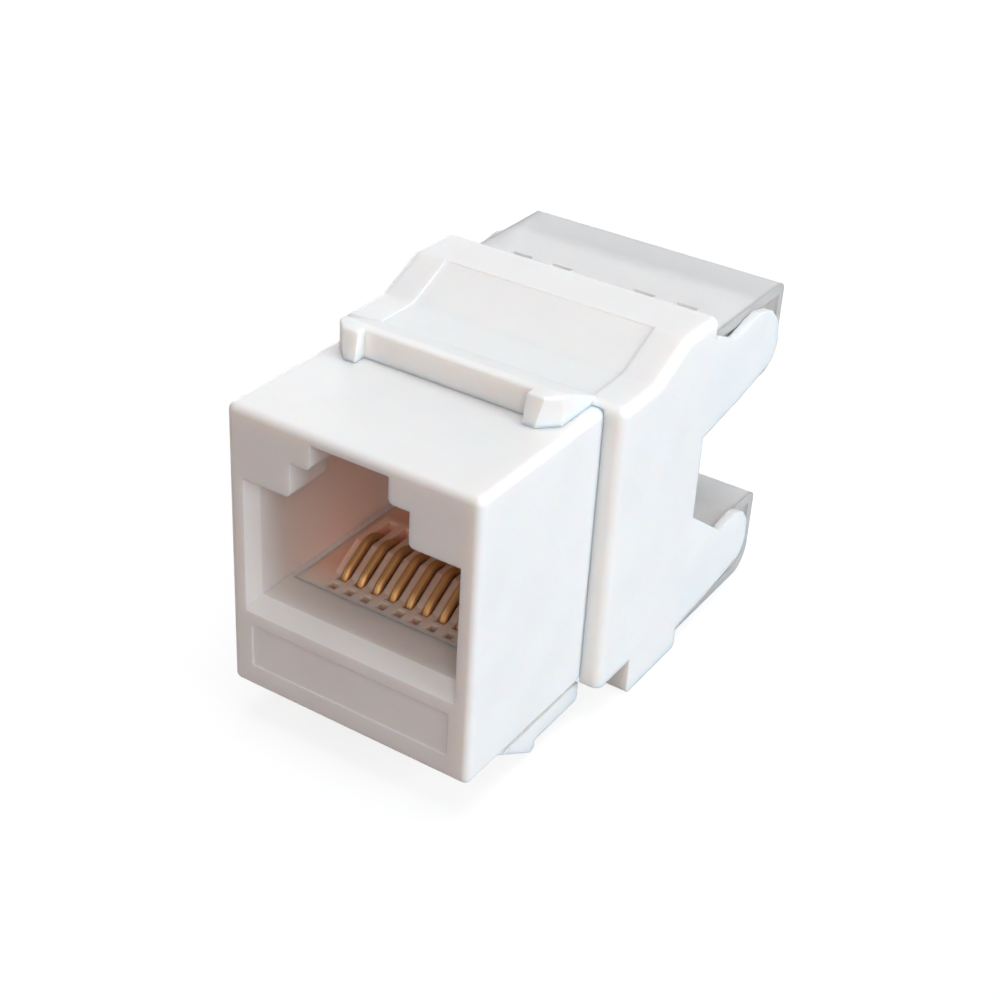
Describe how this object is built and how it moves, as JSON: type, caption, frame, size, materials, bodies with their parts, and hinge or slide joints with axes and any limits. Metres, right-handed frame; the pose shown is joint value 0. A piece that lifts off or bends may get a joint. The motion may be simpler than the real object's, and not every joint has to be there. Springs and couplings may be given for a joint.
{
  "type": "keystone jack",
  "caption": "Snap-in modular jack: stepped plug port with sprung contacts, flexible latch, fixed lug, and two rows of insulation-displacement terminals under sliding caps.",
  "frame": {"origin": "centre of the port face, where the nose passes through a panel opening", "axes": "+Y from the port face to the rear along the plug's way in, +Z towards the fixed lug, away from the flexible latch, +X across the jack"},
  "size_m": [0.017, 0.0292, 0.0203],
  "materials": {
    "housing": "satin moulded white",
    "carrier": "satin moulded off-white",
    "board": "green solder mask",
    "contact": "gold-plated spring wire",
    "terminal": "tin-plated phosphor bronze",
    "cap": "translucent smoke-clear moulding"
  },
  "bodies": {
    "jack": {"front_housing": "housing", "rear_housing": "housing", "contact_carrier": "carrier", "circuit_board": "board", "contact_1": "contact", "contact_2": "contact", "contact_3": "contact", "contact_4": "contact", "contact_5": "contact", "contact_6": "contact", "contact_7": "contact", "contact_8": "contact", "terminal_1": "terminal", "terminal_2": "terminal", "terminal_3": "terminal", "terminal_4": "terminal", "terminal_5": "terminal", "terminal_6": "terminal", "terminal_7": "terminal", "terminal_8": "terminal"},
    "upper_cap": {"upper_cap": "cap"},
    "lower_cap": {"lower_cap": "cap"}
  },
  "joints": [
    {"name": "upper_cap_pull", "type": "slide", "parent": "jack", "child": "upper_cap", "axis": [0, 1, 0], "range_m": [0, 0.009]},
    {"name": "lower_cap_pull", "type": "slide", "parent": "jack", "child": "lower_cap", "axis": [0, 1, 0], "range_m": [0, 0.009]}
  ]
}
